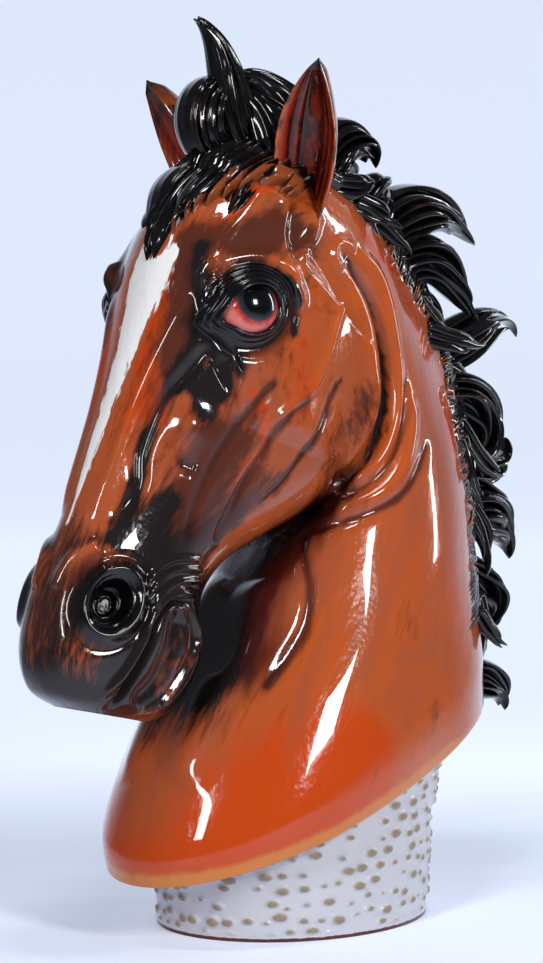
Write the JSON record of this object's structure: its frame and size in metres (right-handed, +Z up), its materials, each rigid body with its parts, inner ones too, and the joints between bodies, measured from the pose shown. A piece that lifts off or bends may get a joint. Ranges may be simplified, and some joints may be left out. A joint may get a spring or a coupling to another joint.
{
  "type": "horse head sculpture",
  "caption": "Glazed ceramic horse head and arched neck with a curling mane, cast in one with a low oval stand whose side is pitted.",
  "frame": {"origin": "middle of the stand's flat underside", "axes": "+Z up; the horse looks along -Y; its left side is +X"},
  "size_m": [0.245, 0.5863, 0.7737],
  "materials": {
    "brown_glaze": "glossy orange-brown glaze, darker where it pools",
    "black_glaze": "glossy black glaze, worn to brown on the hair's ridges",
    "white_glaze": "glossy white glaze over a pitted body, beige in the pits",
    "eye_glaze": "painted eye under clear glaze"
  },
  "bodies": {
    "root": {"horse_head": "brown_glaze"}
  },
  "joints": []
}
